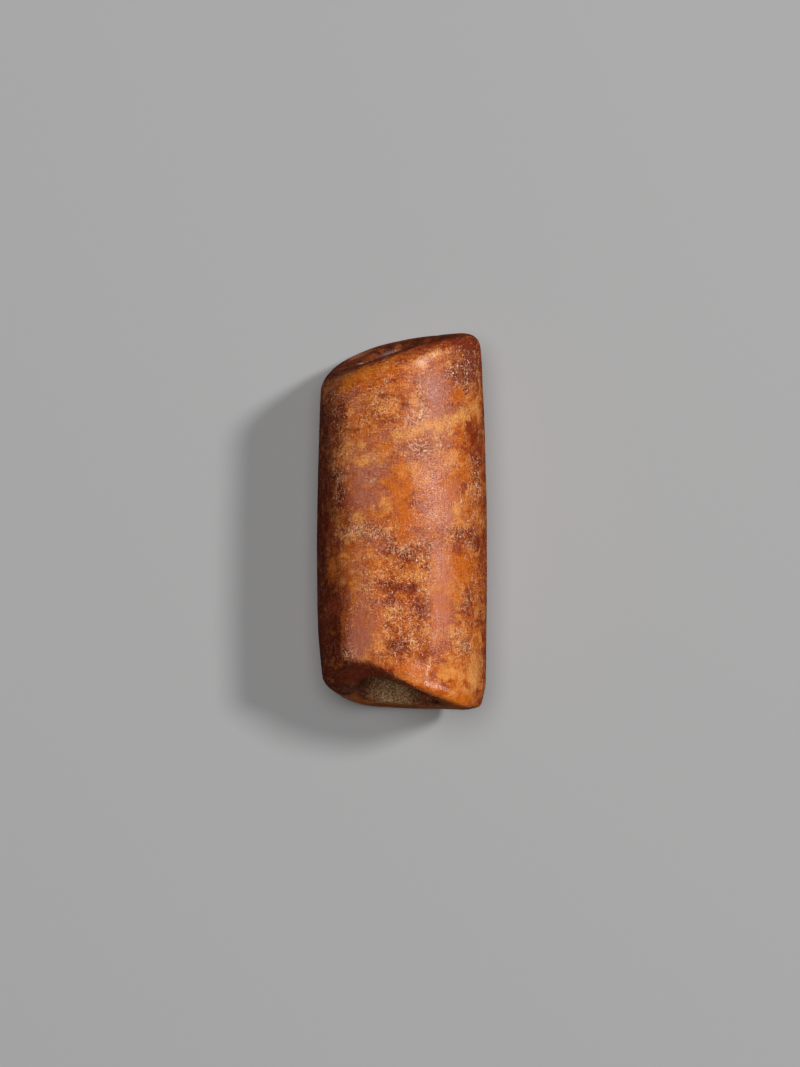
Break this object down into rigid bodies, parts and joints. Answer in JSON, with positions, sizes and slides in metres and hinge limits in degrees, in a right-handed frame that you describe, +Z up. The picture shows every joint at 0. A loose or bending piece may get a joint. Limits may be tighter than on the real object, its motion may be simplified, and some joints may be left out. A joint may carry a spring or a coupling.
{
  "type": "jade cylinder bead",
  "caption": "Weathered jade cylinder bead, a slightly barrelled stone tube with slanting, cord-worn ends and a tapered bore drilled from both ends, lying on its side.",
  "frame": {"origin": "on the surface that the bead lies on, under the middle of its length and width", "axes": "+Y along the bore, towards the end with the narrower mouth; +Z up, towards the side with the pitted strip; +X to the right with the bead seen from above and +Y away from the viewer"},
  "size_m": [0.018, 0.0404, 0.0177],
  "materials": {
    "jade": "polished jade, weathered russet to amber with honey veins, fine pits and scratches"
  },
  "bodies": {
    "root": {"jade_bead": "jade"}
  },
  "joints": []
}
